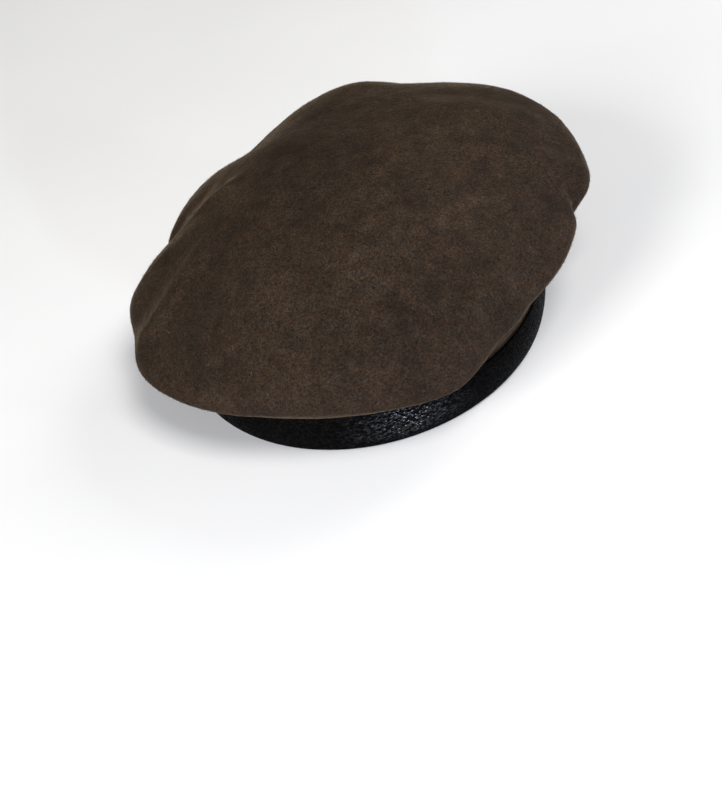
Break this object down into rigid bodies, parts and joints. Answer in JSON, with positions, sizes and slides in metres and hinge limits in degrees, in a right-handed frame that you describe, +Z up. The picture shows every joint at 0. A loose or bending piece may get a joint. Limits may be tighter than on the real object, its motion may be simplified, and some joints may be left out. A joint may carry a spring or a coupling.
{
  "type": "military beret",
  "caption": "Soft brown wool felt beret with a folded black leather headband, crown raised at one side and the back and pulled down to the other side",
  "frame": {"origin": "middle of the beret's bounding box seen from above, on the surface it rests on", "axes": "+Z up, -Y towards the forehead, +X towards the side where the crown stands raised"},
  "size_m": [0.2476, 0.224, 0.0983],
  "materials": {
    "felt": "matte fulled wool felt with a short nap",
    "leather": "satin black pebble-grained leather"
  },
  "bodies": {
    "root": {"crown": "felt", "band": "leather"}
  },
  "joints": []
}
